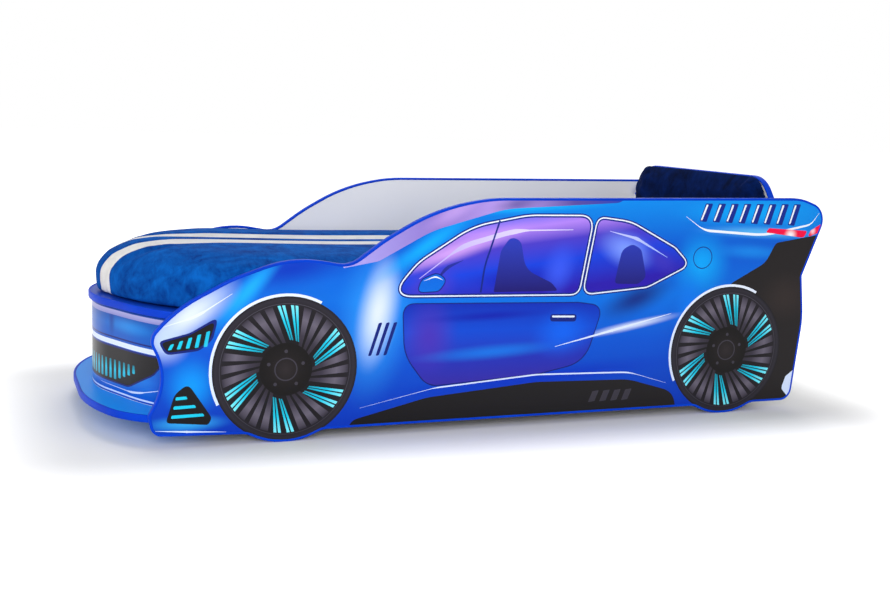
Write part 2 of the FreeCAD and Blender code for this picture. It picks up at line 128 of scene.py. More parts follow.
def bumped(tree, shader, height, distance, strength=1.0):
    bump = addNode(tree, "ShaderNodeBump", {"Height": height, "Distance": distance,
                                            "Strength": strength})
    tree.links.new(bump.outputs["Normal"], shader.inputs["Normal"])


def remapped(tree, value, low, high, toLow=0.0, toHigh=1.0, smooth=False):
    return made(tree, "ShaderNodeMapRange", {"Value": value, "From Min": low, "From Max": high,
                                             "To Min": toLow, "To Max": toHigh},
                interpolation_type="SMOOTHSTEP" if smooth else "LINEAR")


def mixedColour(tree, factor, first, second):
    node = addNode(tree, "ShaderNodeMix", data_type="RGBA")
    colourInputs = [s for s in node.inputs if s.type == "RGBA"]
    for socket, value in zip([node.inputs[0], *colourInputs], (factor, first, second)):
        if isinstance(value, bpy.types.NodeSocket):
            tree.links.new(value, socket)
        else:
            socket.default_value = value
    return [s for s in node.outputs if s.type == "RGBA"][0]


def dress(material, *names):
    for name in names:
        slots = nodes[name].data.materials
        slots.clear()
        slots.append(material)


def meshObject(name, mesh):
    piece = bpy.data.objects.new(name, mesh)
    scene.collection.objects.link(piece)
    return piece


def mergedCopy(name):
    form = bmesh.new()
    form.from_mesh(nodes[name].data)
    bmesh.ops.remove_doubles(form, verts=form.verts, dist=tolerance["merge"])
    return form


def meshFrom(form, name):
    mesh = bpy.data.meshes.new(name)
    form.to_mesh(mesh)
    form.free()
    return mesh


def applyModifiers(piece):
    evaluated = piece.evaluated_get(bpy.context.evaluated_depsgraph_get())
    result = bpy.data.meshes.new_from_object(evaluated)
    piece.modifiers.clear()
    piece.data = result
    return result


def vertsWithNormals(piece):
    vertices = piece.data.vertices
    return list(zip(vertices, [vert.normal.copy() for vert in vertices]))


def clamped(value, low=0.0, high=1.0):
    return min(max(value, low), high)


def eased(value, low, high):
    # 0 at low, 1 at high, with a soft start and end
    t = clamped((value - low) / (high - low))
    return t * t * (3 - 2 * t)


# Camera: the height, direction and tilt from which the bed is photographed.
cameraSetup = {"place": (-1.2495, -3.2121, 0.8153), "yaw": 21.594, "pitch": 8.737, "roll": 2.142,
               "lens": 48.27, "sensor": 36.0}


def makeCamera(s):
    yaw, pitch, roll = (math.radians(s[key]) for key in ("yaw", "pitch", "roll"))
    ahead = Vector((math.sin(yaw), math.cos(yaw), 0))
    right = Vector((math.cos(yaw), -math.sin(yaw), 0))
    up = Vector((0, 0, 1))
    view = ahead * math.cos(pitch) - up * math.sin(pitch)
    top = up * math.cos(pitch) + ahead * math.sin(pitch)
    tiltedRight = right * math.cos(roll) + top * math.sin(roll)
    tiltedTop = top * math.cos(roll) - right * math.sin(roll)
    data = bpy.data.cameras.new("photoCamera")
    data.lens = s["lens"]
    data.sensor_width = s["sensor"]
    data.clip_end = 100
    camera = bpy.data.objects.new("photoCamera", data)
    turn = Matrix((tiltedRight, tiltedTop, -view)).transposed().to_4x4()
    camera.matrix_world = Matrix.Translation(s["place"]) @ turn
    scene.collection.objects.link(camera)
    scene.camera = camera


makeCamera(cameraSetup)
scene.view_settings.view_transform = "Standard"

# Studio: white floor that keeps the shadow, white surroundings, broad soft lamps.
studio = {"ambient": 0.42, "floorSize": 60.0, "floorColour": "#F4F4F4",
          "footprint": (1.0, 0.42, 0.0), "nearLift": 0.0, "farLift": 0.8, "liftStart": 0.02,
          "liftEnd": 0.48,
          "lamps": [("frontLamp", (-1.7, -4.6, 1.7), (0.0, 0.0, 0.3), 3.0, 138.0),
                    ("topLamp", (-0.2, 0.6, 4.4), (0.0, 0.0, 0.2), 2.4, 42.0),
                    ("noseLamp", (-4.4, -0.6, 1.6), (-0.6, 0.0, 0.3), 2.4, 30.0),
                    ("backLamp", (2.4, 4.2, 3.2), (0.2, 0.0, 0.3), 3.0, 48.0)]}


def seenDirectly(tree):
    # 1 where the eye sees the surface, also in a reflection or through glass
    ray = addNode(tree, "ShaderNodeLightPath").outputs
    first = calculated(tree, "MAXIMUM", ray["Is Camera Ray"], ray["Is Glossy Ray"])
    return calculated(tree, "MAXIMUM", first, ray["Is Transmission Ray"])


def makeStudio(s):
    world = bpy.data.worlds.new("studioLight")
    scene.world = world
    world.use_nodes = True
    tree = world.node_tree
    background = tree.nodes["Background"]
    strength = remapped(tree, seenDirectly(tree), 0, 1, s["ambient"], 1.0)
    tree.links.new(strength, background.inputs["Strength"])
    background.inputs["Color"].default_value = (1, 1, 1, 1)

    # painted studio floor: matt white; the eye alone sees it lifted
    material, tree, shader = newMaterial("matt white studio floor",
                                         {"Base Color": s["floorColour"], "Roughness": 0.9,
                                          "Specular IOR Level": 0.0})
    shader.inputs["Emission Color"].default_value = (1, 1, 1, 1)
    # far from the bed, where the lamps fade, the floor is lifted to the white of the surroundings
    away = vectorNode(tree, "ABSOLUTE", objectCoords(tree))["Vector"]
    for operation, value in (("SUBTRACT", s["footprint"]), ("MAXIMUM", (0, 0, 0))):
        away = vectorNode(tree, operation, away, value)["Vector"]
    distance = vectorNode(tree, "LENGTH", away)["Value"]
    amount = remapped(tree, distance, s["liftStart"], s["liftEnd"], s["nearLift"], s["farLift"], True)
    lift = calculated(tree, "MULTIPLY", seenDirectly(tree), amount)
    tree.links.new(lift, shader.inputs["Emission Strength"])
    half = s["floorSize"] / 2
    mesh = bpy.data.meshes.new("studioFloor")
    mesh.from_pydata([(-half, -half, 0), (half, -half, 0), (half, half, 0), (-half, half, 0)], [],
                     [(0, 1, 2, 3)])
    mesh.materials.append(material)
    meshObject("studioFloor", mesh)

    for name, place, aim, size, power in s["lamps"]:
        lamp = bpy.data.lights.new(name, "AREA")
        lamp.shape = "DISK"
        lamp.size = size
        lamp.energy = power
        holder = bpy.data.objects.new(name, lamp)
        holder.location = place
        holder.rotation_euler = (Vector(aim) - Vector(place)).to_track_quat("-Z", "Y").to_euler()
        scene.collection.objects.link(holder)


makeStudio(studio)
print("stage: camera and studio")


# Printed film: a semi-gloss laminated print. Its colours come from its own flat map, in metres.
def mapCoords(tree):
    return addNode(tree, "ShaderNodeUVMap", uv_map="printMap").outputs["UV"]


def gradient(tree, coords, direction, low, high, stops):
    along = vectorNode(tree, "DOT_PRODUCT", coords, (*direction, 0))["Value"]
    return colourRamp(tree, remapped(tree, along, low * mm, high * mm), stops)


def withGlows(tree, coords, colour, glows):
    # airbrushed spots: centre, half sizes, turn, colour and strength of each
    for u, v, halfU, halfV, turn, code, strength in glows:
        local = made(tree, "ShaderNodeMapping",
                     {"Vector": coords, "Location": (u * mm, v * mm, 0),
                      "Rotation": (0, 0, math.radians(turn)),
                      "Scale": (halfU * mm, halfV * mm, 1)}, vector_type="TEXTURE")
        distance = vectorNode(tree, "LENGTH", local)["Value"]
        amount = remapped(tree, distance, 0.0, 1.0, strength, 0.0, smooth=True)
        colour = mixedColour(tree, amount, colour, srgb(code))
    return colour


film = {"Roughness": 0.3, "IOR": 1.5, "Specular IOR Level": 0.12}
# faint orange peel of the laminate, about 4 mm across
orangePeel = {"scale": 260.0, "depth": 0.00003}


def filmMaterial(name, colourAt):
    material, tree, shader = newMaterial("laminated film print, " + name, film)
    coords = mapCoords(tree)
    tree.links.new(colourAt(tree, coords), shader.inputs["Base Color"])
    bumped(tree, shader, noiseValue(tree, coords, orangePeel["scale"], 1.0), orangePeel["depth"])
    return material


def printInk(name, stops, direction=(0, 1), low=0, high=600, glows=()):
    def colourAt(tree, coords):
        return withGlows(tree, coords, gradient(tree, coords, direction, low, high, stops), glows)

    return filmMaterial(name, colourAt)


def ringInk(name, low, high, stops):
    # shade by the distance from the nearer wheel centre
    def colourAt(tree, coords):
        reach = None
        for u, v in sidePrint["wheels"]:
            here = vectorNode(tree, "DISTANCE", coords, (u * mm, v * mm, 0))["Value"]
            reach = here if reach is None else calculated(tree, "MINIMUM", reach, here)
        return colourRamp(tree, remapped(tree, reach, low * mm, high * mm), stops)

    return filmMaterial(name, colourAt)


# Drawing: the length of a rounding's chords in mm, a line's width at its tips and how fast it grows.
pens = {"areaChord": 7.0, "lineChord": 9.0, "tip": 0.12, "growth": 3.2}


def filleted(corners, closed=True, chord=pens["areaChord"]):
    # corner points (u, v, radius) become a smooth outline in mm
    count = len(corners)
    outline = []
    for index, (u, v, radius) in enumerate(corners):
        here = Vector((u, v))
        if radius == 0 or (not closed and index in (0, count - 1)):
            outline.append(here)
            continue
        back = Vector(corners[index - 1][:2]) - here
        ahead = Vector(corners[(index + 1) % count][:2]) - here
        half = back.angle(ahead) / 2
        reach = min(radius / math.tan(half), back.length * 0.49, ahead.length * 0.49)
        start = here + back.normalized() * reach
        end = here + ahead.normalized() * reach
        steps = max(3, int(2 * reach / chord))
        for k in range(steps + 1):
            t = k / steps
            outline.append(start.lerp(here, t).lerp(here.lerp(end, t), t))
    return outline


def areaOf(outline):
    return sum(a.x * b.y - b.x * a.y for a, b in zip(outline, outline[1:] + outline[:1])) / 2


def insetLoop(outline, distance):
    # every point moves inwards; the outline runs anticlockwise
    moved = []
    for index, here in enumerate(outline):
        along = (outline[(index + 1) % len(outline)] - outline[index - 1]).normalized()
        moved.append(here + Vector((-along.y, along.x)) * distance)
    return moved


def stroke(corners, width, taper=True):
    # a line with tapered ends as a thin outline
    path = filleted(corners, closed=False, chord=pens["lineChord"])
    total = len(path) - 1
    left, right = [], []
    for index, here in enumerate(path):
        along = (path[min(index + 1, total)] - path[max(index - 1, 0)]).normalized()
        share = index / total
        full = min(1.0, pens["tip"] + pens["growth"] * min(share, 1 - share)) if taper else 1.0
        side = Vector((-along.y, along.x)) * (width / 2 * full)
        left.append(here + side)
        right.append(here - side)
    return left + right[::-1]


def disc(u, v, radius, sides=72):
    return [Vector((u + radius * math.cos(k / sides * math.tau),
                    v + radius * math.sin(k / sides * math.tau))) for k in range(sides)]


def sector(u, v, inner, outer, start, end, sweep=0.0, steps=3):
    # a piece of a ring from angle start to end in degrees; its outer arc is turned by sweep
    def at(radius, angle):
        return Vector((u + radius * math.cos(math.radians(angle)),
                       v + radius * math.sin(math.radians(angle))))

    low = [at(inner, start + (end - start) * k / steps) for k in range(steps + 1)]
    high = [at(outer, start + sweep + (end - start) * k / steps) for k in range(steps + 1)]
    return low + high[::-1]


def printedSheet(name, base, shapes, inks, place, cuts=(), flip=False):
    # one flat sheet cut along every shape's outline; the last shape over a spot gives its ink
    points, faces, owners, edges = [], [], [], []
    for ink, outline in [("body", base)] + shapes:
        outline = outline if areaOf(outline) > 0 else outline[::-1]
        faces.append(list(range(len(points), len(points) + len(outline))))
        points += outline
        owners.append(ink)
    for start, end in cuts:
        edges.append((len(points), len(points) + 1))
        points += [Vector(start), Vector(end)]
    flat, _, triangles, _, _, origins = delaunay_2d_cdt(points, edges, faces, 1,
                                                            tolerance["print"])
    order = sorted(set(owners), key=list(inks).index)
    form = bmesh.new()
    uvLayer = form.loops.layers.uv.new("printMap")
    verts = [form.verts.new(place(p.x, p.y)) for p in flat]
    for triangle, origin in zip(triangles, origins):
        if 0 not in origin:
            continue
        face = form.faces.new([verts[k] for k in (triangle[::-1] if flip else triangle)])
        face.material_index = order.index(owners[max(origin)])
        for loop, k in zip(face.loops, triangle[::-1] if flip else triangle):
            loop[uvLayer].uv = (flat[k].x * mm, flat[k].y * mm)
    bmesh.ops.delete(form, geom=[v for v in form.verts if not v.link_faces], context="VERTS")
    mesh = meshFrom(form, name)
    for ink in order:
        mesh.materials.append(inks[ink])
    return meshObject(name, mesh)


def thickened(sheet, thickness):
    wall = sheet.modifiers.new("filmThickness", "SOLIDIFY")
    wall.thickness = thickness * mm
    wall.offset = -1


def boundaryLoop(name, flatAxes, levelAxis, level):
    # the outline of a board's face that lies at the given level, anticlockwise, in mm
    form = mergedCopy(name)
    a, b = flatAxes
    near = tolerance["level"]
    faces = [f for f in form.faces if all(abs(v.co[levelAxis] - level) < near for v in f.verts)]
    chosen = set(faces)
    ahead = {}
    for face in faces:
        for loop in face.loops:
            if sum(other in chosen for other in loop.edge.link_faces) == 1:
                ahead.setdefault(loop.vert.index, []).append(loop.link_loop_next.vert.index)
    form.verts.ensure_lookup_table()
    loops = []
    while ahead:
        start = next(iter(ahead))
        loop, here = [], start
        while here in ahead:
            loop.append(here)
            onward = ahead[here].pop()
            if not ahead[here]:
                del ahead[here]
            here = onward
        loops.append([Vector((form.verts[k].co[a], form.verts[k].co[b])) * 1000 for k in loop])
    form.free()
    outline = max(loops, key=lambda loop: abs(areaOf(loop)))
    return outline if areaOf(outline) > 0 else outline[::-1]


# Side print: a plain coupe in blue with dark glass, drawn for this bed. Stations and heights in mm.
sidePrint = {"filmInset": 3.5, "filmThickness": 0.3,
             "wheels": [(329.0, 182.0), (1601.0, 182.0)], "wheelRadius": 181.0,
             "blades": 30, "bladeSweep": 15.0, "accentEvery": 5}

glassOutline = [(604, 362, 40), (668, 438, 160), (812, 528, 260), (965, 556, 300), (1150, 556, 30),
                (1118, 356, 24)]
quarterOutline = [(1172, 552, 20), (1268, 540, 160), (1408, 470, 40), (1452, 428, 14),
                  (1330, 372, 60), (1140, 356, 20)]
doorOutline = [(628, 336, 30), (1122, 328, 26), (1196, 318, 60), (1150, 168, 90), (1010, 140, 120),
               (700, 122, 60), (636, 206, 120)]

sideInks = {
    "body": printInk("body blue", [(0.0, "#0030B0"), (0.34, "#0454CE"), (0.55, "#0470DE"),
        (0.76, "#0354CC"), (1.0, "#0A8CEA")], low=25, high=611, glows=[
            (329, 182, 270, 270, 0, "#0038B0", 0.75), (1601, 182, 270, 270, 0, "#0038B0", 0.7),
            (340, 432, 210, 62, 10, "#0034B8", 0.95), (232, 376, 160, 34, 48, "#18A8F8", 1.0),
            (96, 322, 160, 60, 36, "#DDE8FC", 1.0), (40, 262, 70, 70, 0, "#C4D8F8", 0.85),
            (100, 150, 80, 90, 0, "#0698F4", 0.9), (90, 60, 120, 26, 0, "#38B4F4", 0.8),
            (556, 300, 120, 250, -8, "#2C9CF6", 0.85), (562, 318, 62, 170, -10, "#DCE8FC", 1.0),
            (690, 486, 200, 34, 33, "#0AA8F8", 0.95), (960, 584, 330, 22, 3, "#10B0F8", 0.95),
            (1000, 128, 540, 42, 4, "#0030BC", 0.9), (1290, 262, 190, 16, 10, "#D4E0FC", 0.95),
            (1300, 336, 150, 54, 20, "#0A2278", 0.9), (1500, 430, 110, 110, -10, "#06A4F6", 0.95),
            (1470, 300, 60, 130, 0, "#0678EC", 0.8), (1660, 462, 170, 30, -3, "#1890EC", 0.7),
            (1700, 516, 260, 22, -2, "#5CBCF8", 0.85), (1660, 572, 300, 50, 0, "#06A4F6", 0.95),
            (1820, 545, 110, 60, 0, "#0C90EA", 0.8)]),
    "roofTint": printInk("tinted lilac", [(0.0, "#A9A0E8"), (0.3, "#8C74C8"), (0.55, "#B79AE6"),
        (0.8, "#5A4C9C"), (1.0, "#1C3FB4")], direction=(1, 0), low=480, high=1250, glows=[
            (760, 572, 120, 30, 30, "#C9A6EC", 0.6), (930, 590, 90, 30, 10, "#4A4390", 0.7)]),
    "navyLine": printInk("navy", [(0.0, "#0A1660"), (1.0, "#122A8C")]),
    "paleLine": printInk("pale line", [(0.0, "#CFE0FF"), (1.0, "#F4F8FF")]),
    "glass": printInk("violet glass", [(0.0, "#2A18A8"), (0.35, "#1440D8"), (0.6, "#4A3CC4"),
        (0.8, "#B084F0"), (1.0, "#2A5CE8")], direction=(-0.12, 0.993), low=235, high=455, glows=[
            (760, 470, 260, 34, 17, "#D4A2F2", 0.9), (700, 380, 90, 60, 20, "#5038C0", 0.8),
            (930, 396, 150, 40, 3, "#0A1FB8", 0.9), (1060, 420, 60, 90, -18, "#3B5CF0", 0.8),
            (1260, 470, 110, 60, -20, "#7F9CFF", 0.9), (1370, 440, 80, 40, -30, "#4034B8", 0.7)]),
    "shade": printInk("dim interior", [(0.0, "#1A1268"), (1.0, "#2C3CB4")], low=360, high=500),
    "door": printInk("deep blue door", [(0.0, "#34289C"), (0.3, "#2230B0"), (0.65, "#0A48CC"),
        (1.0, "#0A28AC")], low=120, high=340, glows=[
            (700, 250, 90, 120, 0, "#4A2EB0", 0.85), (880, 205, 260, 26, 3, "#1478E4", 0.8),
            (1080, 250, 110, 80, 12, "#0A66F0", 0.8), (860, 300, 220, 18, 2, "#0A18A4", 0.8)]),
    "shine": printInk("lilac shine", [(0.0, "#B9A8F4"), (0.5, "#E6DCFF"), (1.0, "#9FB8FF")],
        direction=(1, 0), low=650, high=1400),
    "black": printInk("soot black", [(0.0, "#141214"), (0.5, "#1B191B"), (1.0, "#201C1D")],
        direction=(1, 0.2), low=400, high=1900, glows=[
            (1790, 330, 110, 90, 0, "#332A28", 0.7)]),
    "slate": printInk("slate grey", [(0.0, "#37343D"), (1.0, "#46424E")]),
    "cyan": ringInk("cyan", 50, 250, [(0.0, "#0C6F86"), (0.35, "#19C8E6"), (0.55, "#7BEBFA"),
        (0.8, "#18BFE0"), (1.0, "#1ACBEA")]),
    "tyre": ringInk("tyre black", 100, 181, [(0.0, "#141216"), (0.7, "#1D1A20"), (0.9, "#2B2831"),
        (1.0, "#17151A")]),
    "blade": ringInk("wheel grey", 55, 160, [(0.0, "#241F26"), (0.35, "#3A3542"), (0.7, "#66606F"),
        (0.9, "#4A4552"), (1.0, "#2A2630")]),
    "hub": ringInk("hub black", 0, 60, [(0.0, "#2A2427"), (0.6, "#171314"), (1.0, "#0F0C0D")]),
    "red": printInk("lamp red", [(0.0, "#E8002F"), (1.0, "#FF1450")], low=480, high=540, glows=[
            (1790, 509, 26, 22, 0, "#FFF2F6", 1.0), (1866, 520, 14, 16, 0, "#FFD6E0", 0.95)]),
}


def wheelShapes(s, centre):
    u, v = centre
    radius = s["wheelRadius"]
    sweep = s["bladeSweep"]
    shapes = [("tyre", disc(u, v, radius)), ("slate", disc(u, v, radius - 17)),
              ("tyre", disc(u, v, radius - 19))]
    pitch = 360 / s["blades"]
    for k in range(s["blades"]):
        start = k * pitch + 4
        if k % s["accentEvery"] < 2:
            for shift in (0.06, 0.40):
                low = start + shift * pitch
                shapes.append(("cyan", sector(u, v, 74, radius - 22, low, low + 0.22 * pitch, sweep)))
        else:
            shapes.append(("blade", sector(u, v, 58, radius - 22, start, start + 0.62 * pitch, sweep)))
    shapes += [("hub", disc(u, v, 66, 48)), ("slate", disc(u, v, 29, 36)), ("hub", disc(u, v, 26, 36))]
    for k in range(5):
        angle = math.radians(72 * k + 18)
        shapes.append(("slate", disc(u + 45 * math.cos(angle), v + 45 * math.sin(angle), 4.5, 12)))
    return shapes


def drawing():
    # a list of shapes, and the two pens that add to it
    shapes = []

    def area(ink, *corners, chord=pens["areaChord"]):
        shapes.append((ink, filleted(corners, chord=chord)))

    def line(ink, width, *corners, taper=True):
        shapes.append((ink, stroke(corners, width, taper)))

    return shapes, area, line


def sideShapes(s):
    shapes, area, line = drawing()
    # windscreen and roof tint along the roof's edge
    area("roofTint", (470, 430, 0), (560, 446, 40), (700, 522, 300), (900, 578, 300), (1240, 596, 40),
         (1280, 660, 0), (700, 660, 0), (440, 480, 0))
    # sill skirt and tail
    area("black", (478, 0, 0), (500, 44, 30), (700, 92, 200), (1010, 118, 400), (1290, 112, 200),
         (1436, 70, 60), (1450, 0, 0))
    for k in range(4):
        u = 1180 + 34 * k
        area("slate", (u, 84, 2), (u + 20, 86, 2), (u + 8, 56, 2), (u - 12, 54, 2))
    area("black", (1640, 0, 0), (1560, 300, 60), (1600, 372, 40), (1712, 430, 60), (1742, 486, 20),
         (1960, 520, 0), (1960, 0, 0))
    area("paleLine", (1842, 20, 0), (1800, 60, 14), (1812, 96, 10), (1842, 118, 6), (1880, 130, 0),
         (1880, 0, 0))
    # wheel arches' bright lips
    for u, v in s["wheels"]:
        shapes.append(("paleLine", sector(u, v, 181, 188, 62, 206, steps=30)))
    # glass, quarter glass and door with their frames
    for outline in (glassOutline, quarterOutline):
        smooth = filleted(outline)
        smooth = smooth if areaOf(smooth) > 0 else smooth[::-1]
        for ink, inset in (("navyLine", -11), ("paleLine", -7.5), ("navyLine", -4)):
            shapes.append((ink, insetLoop(smooth, inset)))
        shapes.append(("glass", smooth))
    shapes.append(("navyLine", insetLoop(filleted(doorOutline[::-1]), -3)))
    area("door", *doorOutline)
    # seats and the far sill, dim behind the glass
    area("shade", (874, 362, 4), (890, 470, 40), (916, 506, 30), (946, 496, 30), (962, 420, 60),
         (1040, 384, 40), (1060, 362, 4))
    area("shade", (1228, 378, 10), (1246, 470, 30), (1278, 486, 24), (1306, 470, 24), (1326, 392, 30),
         (1300, 376, 20))
    line("shade", 9, (700, 372, 0), (740, 428, 60), (786, 446, 20))
    line("shine", 13, (668, 400, 0), (780, 482, 200), (930, 522, 300), (1096, 524, 0))
    line("shine", 9, (1206, 520, 0), (1290, 500, 90), (1388, 448, 0))
    line("navyLine", 5, (884, 548, 0), (846, 430, 200), (838, 362, 0), taper=False)
    # mirror on the door's corner
    mirror = [(664, 366, 14), (722, 368, 20), (742, 396, 14), (716, 414, 24), (676, 398, 20)]
    shapes.append(("navyLine", insetLoop(filleted(mirror), -3)))
    area("body", *mirror)
    line("paleLine", 4, (680, 394, 0), (712, 406, 20), (732, 396, 0))
    # fuel flap and the slots behind the front wheel
    shapes.append(("navyLine", disc(1502, 446, 31, 40)))
    shapes.append(("body", disc(1502, 446, 28.5, 40)))
    for k in range(3):
        u = 538 + 20 * k
        area("navyLine", (u, 206, 4), (u + 9, 208, 4), (u + 36, 292, 4), (u + 26, 290, 4), chord=4)
    line("paleLine", 4, (520, 74, 0), (720, 116, 200), (1010, 138, 400), (1290, 132, 200),
         (1410, 96, 0))
    # door handle, character lines and bonnet line
    area("navyLine", (1040, 300, 8), (1120, 298, 8), (1118, 278, 8), (1042, 280, 8))
    area("paleLine", (1046, 296, 4), (1114, 294, 4), (1113, 289, 4), (1047, 291, 4))
    line("paleLine", 9, (1060, 212, 0), (1230, 250, 300), (1412, 292, 0))
    line("paleLine", 7, (34, 296, 0), (110, 318, 200), (196, 372, 0))
    line("paleLine", 7, (1440, 560, 0), (1500, 522, 90), (1700, 508, 300), (1858, 538, 40),
         (1884, 572, 0))
    # rear deck louvres
    for k in range(8):
        u = 1500 + 42 * k
        dip = 1.5 * k
        area("navyLine", (u, 596, 3), (u + 24, 596, 3), (u + 6, 545 - dip, 3), (u - 16, 547 - dip, 3),
             chord=3)
        area("paleLine", (u + 3, 593, 2), (u + 9, 593, 2), (u - 8, 550 - dip, 2),
             (u - 13, 550 - dip, 2), chord=3)
    # tail lamp in two blocks
    area("red", (1704, 516, 4), (1838, 500, 60), (1846, 520, 4), (1716, 528, 4))
    area("red", (1850, 502, 4), (1930, 530, 0), (1930, 560, 0), (1858, 521, 4))
    # headlamp with light bars, and the lower air intake
    area("navyLine", (22, 262, 10), (96, 280, 60), (164, 318, 10), (150, 262, 30), (118, 236, 30),
         (40, 228, 20))
    area("black", (28, 258, 8), (96, 275, 60), (157, 308, 8), (144, 264, 30), (116, 241, 30),
         (44, 234, 16))
    for k in range(5):
        u = 44 + 21 * k
        low, high = 240 + 1.2 * k, 256 + 7 * k
        area("cyan", (u, low, 2), (u + 9, low + 1, 2), (u + 16, high, 2), (u + 7, high - 3, 2), chord=3)
    area("black", (40, 64, 8), (60, 132, 40), (92, 158, 16), (150, 70, 30), (140, 54, 8))
    for k in range(3):
        v = 74 + 22 * k
        area("cyan", (52 + 5 * k, v, 3), (132 - 20 * k, v + 2, 3), (128 - 20 * k, v + 9, 3),
             (54 + 5 * k, v + 8, 3), chord=3)
    line("paleLine", 6, (16, 46, 0), (90, 40, 200), (184, 34, 0))
    for centre in s["wheels"]:
        shapes += wheelShapes(s, centre)
    return shapes


def makeSidePrint(s, side, panel, flip):
    low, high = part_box(panel)
    outer = high.y if side > 0 else low.y
    outline = boundaryLoop(panel, (0, 2), 1, outer)
    outline = [Vector((p.x + originShift, p.y)) for p in outline]
    face = outer + side * s["filmThickness"] * mm

    def place(u, v):
        return (toX(u), face, v * mm)

    name = "sidePrintLeft" if side > 0 else "sidePrintRight"
    sheet = printedSheet(name, insetLoop(outline, s["filmInset"]), sideShapes(s), sideInks, place,
                         flip=flip)
    thickened(sheet, s["filmThickness"])
    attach(sheet, "frame")


makeSidePrint(sidePrint, -1, "side_panel_right", False)
makeSidePrint(sidePrint, 1, "side_panel_left", True)
print("stage: side prints")


# Front print, on the bent skin: widths run along the bend from its middle, heights are true.
frontPrint = {"filmThickness": 0.3, "low": 79.5, "high": 303.5, "step": 10.0, "endGap": 0.6,
              "stripReach": 600, "bars": 24, "barPitch": 22}
frontInks = {
    "body": printInk("bumper blue", [(0.0, "#0850C4"), (0.25, "#1478D8"), (0.5, "#0848B8"),
        (0.8, "#0662C0"), (1.0, "#0C3C94")], low=79, high=304, glows=[
            (0, 120, 90, 40, 0, "#5AA8F0", 0.8), (230, 262, 120, 26, 0, "#1C8AE0", 0.8),
            (-230, 262, 120, 26, 0, "#1C8AE0", 0.8), (380, 130, 90, 60, 0, "#0A3CC0", 0.8),
            (-380, 130, 90, 60, 0, "#0A3CC0", 0.8), (150, 270, 20, 60, 0, "#0A3490", 0.7),
            (-150, 270, 20, 60, 0, "#0A3490", 0.7)]),
    "lilac": printInk("lilac strip", [(0.0, "#7C80C4"), (1.0, "#B4B0DC")], low=280, high=300),
    "paleLine": sideInks["paleLine"],
    "black": printInk("grille black", [(0.0, "#121114"), (1.0, "#1E1B1E")], low=110, high=200),
    "cyan": printInk("grille cyan", [(0.0, "#0E8CA6"), (0.5, "#21C6E4"), (1.0, "#0A6478")],
        low=112, high=172),
    "navyLine": sideInks["navyLine"],
}


def frontShapes(s):
    shapes, area, line = drawing()
    reach = s["stripReach"]

    def strip(ink, low, high):
        area(ink, (-reach, low, 0), (reach, low, 0), (reach, high, 0), (-reach, high, 0))

    strip("lilac", 283, 296)
    strip("navyLine", 224, 228)
    strip("paleLine", 206, 219)
    # wide mouth with upright light bars
    mouth = [(-372, 200, 12), (372, 200, 12), (330, 158, 60), (230, 112, 60), (-230, 112, 60),
             (-330, 158, 60)]
    shapes.append(("navyLine", insetLoop(filleted(mouth[::-1]), -4)))
    area("black", *mouth)
    for k in range(s["bars"]):
        u = (k - (s["bars"] - 1) / 2) * s["barPitch"]
        foot = 118 + max(0.0, abs(u) - 170) * 0.35
        area("cyan", (u - 6, foot, 3), (u + 6, foot, 3), (u + 4, 168, 2), (u - 4, 168, 2), chord=3)
    for side in (-1, 1):
        line("paleLine", 5, (side * 90, 100, 0), (side * 260, 98, 300), (side * 400, 132, 0))
    strip("paleLine", 84, 88.5)
    return shapes


def skinPath(name):
    # the skin's outer line seen from above, from the left side to the right, with lengths along it
    form = mergedCopy(name)
    # a point behind the skin tells its outer faces from its inner ones
    inside = Vector((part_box(name)[1].x + 0.2, 0, 0))
    found = {}
    for face in form.faces:
        normal = face.normal
        level, crosswise = abs(normal.z) > 0.1, abs(normal.y) > 0.97
        if not level and not crosswise and normal.dot(face.calc_center_median() - inside) > 0:
            for vert in face.verts:
                found[round(vert.co.y, 5)] = Vector((vert.co.x, vert.co.y))
    form.free()
    path = [found[y] for y in sorted(found, reverse=True)]
    lengths = [0.0]
    for a, b in zip(path, path[1:]):
        lengths.append(lengths[-1] + (b - a).length)
    return path, [length - lengths[-1] / 2 for length in lengths]


def makeFrontPrint(s):
    path, lengths = skinPath("bumper_skin")

    def place(u, v):
        along = clamped(u * mm, lengths[0], lengths[-1])
        k = max(i for i in range(len(lengths) - 1) if lengths[i] <= along + 1e-9)
        share = (along - lengths[k]) / (lengths[k + 1] - lengths[k])
        here = path[k].lerp(path[k + 1], share)
        normals = []
        for i in (k, k + 1):
            way = (path[min(i + 1, len(path) - 1)] - path[max(i - 1, 0)]).normalized()
            normals.append(Vector((way.y, -way.x)))
        normal = normals[0].lerp(normals[1], share).normalized()
        out = here + normal * s["filmThickness"] * mm
        return (out.x, out.y, v * mm)

    left, right = lengths[0] * 1000 + s["endGap"], lengths[-1] * 1000 - s["endGap"]
    base = [Vector((left, s["low"])), Vector((right, s["low"])), Vector((right, s["high"])),
            Vector((left, s["high"]))]
    cuts = []
    u = left + s["step"]
    while u < right:
        cuts.append(((u, s["low"] - 5), (u, s["high"] + 5)))
        u += s["step"]
    sheet = printedSheet("bumperPrint", base, frontShapes(s), frontInks, place, cuts)
    for polygon in sheet.data.polygons:
        polygon.use_smooth = True
    thickened(sheet, s["filmThickness"])
    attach(sheet, "frame")


makeFrontPrint(frontPrint)
print("stage: bumper print")


